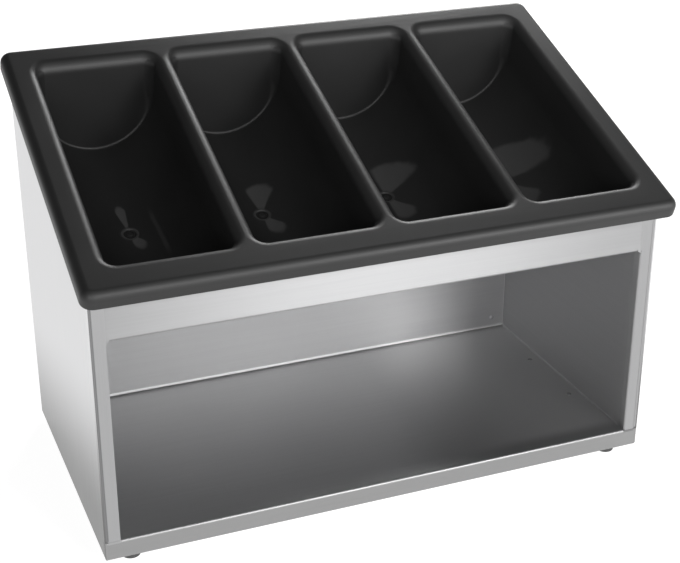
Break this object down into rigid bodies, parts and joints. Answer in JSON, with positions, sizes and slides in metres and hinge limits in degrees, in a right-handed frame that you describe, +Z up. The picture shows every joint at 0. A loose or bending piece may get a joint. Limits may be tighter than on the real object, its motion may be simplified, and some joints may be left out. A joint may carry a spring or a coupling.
{
  "type": "cutlery dispenser",
  "caption": "Countertop cutlery dispenser: brushed sheet-steel cabinet with a sloping top, an open storage bay and a lift-out black moulded tray of round-bottomed troughs.",
  "frame": {"origin": "middle of the bounding box, on the ground under the feet", "axes": "+Z up, the bay's open front faces -Y, +X to the right as the front is seen"},
  "size_m": [0.53, 0.3076, 0.3743],
  "materials": {
    "tray_plastic": "satin moulded plastic",
    "outer_steel": "brushed stainless steel",
    "inner_steel": "mill-finish stainless steel",
    "foot_rubber": "matt rubber",
    "fasteners": "plated steel"
  },
  "bodies": {
    "cabinet": {"left_side_panel": "outer_steel", "right_side_panel": "outer_steel", "left_liner": "inner_steel", "right_liner": "inner_steel", "left_stile": "outer_steel", "right_stile": "outer_steel", "top_rail": "outer_steel", "floor_pan": "outer_steel", "back_panel": "inner_steel", "rear_top_rail": "inner_steel", "rear_base_rail": "inner_steel", "foot_front_left": "foot_rubber", "foot_front_right": "foot_rubber", "foot_rear_left": "foot_rubber", "foot_rear_right": "foot_rubber", "foot_screws": "fasteners", "foot_washers": "fasteners", "foot_nuts": "fasteners", "floor_rivets": "inner_steel", "back_rivets": "inner_steel"},
    "tray": {"cutlery_tray": "tray_plastic"}
  },
  "joints": [
    {"name": "tray_lift", "type": "slide", "parent": "cabinet", "child": "tray", "axis": [0, -0.3502, 0.9367], "range_m": [0, 0.13]}
  ]
}
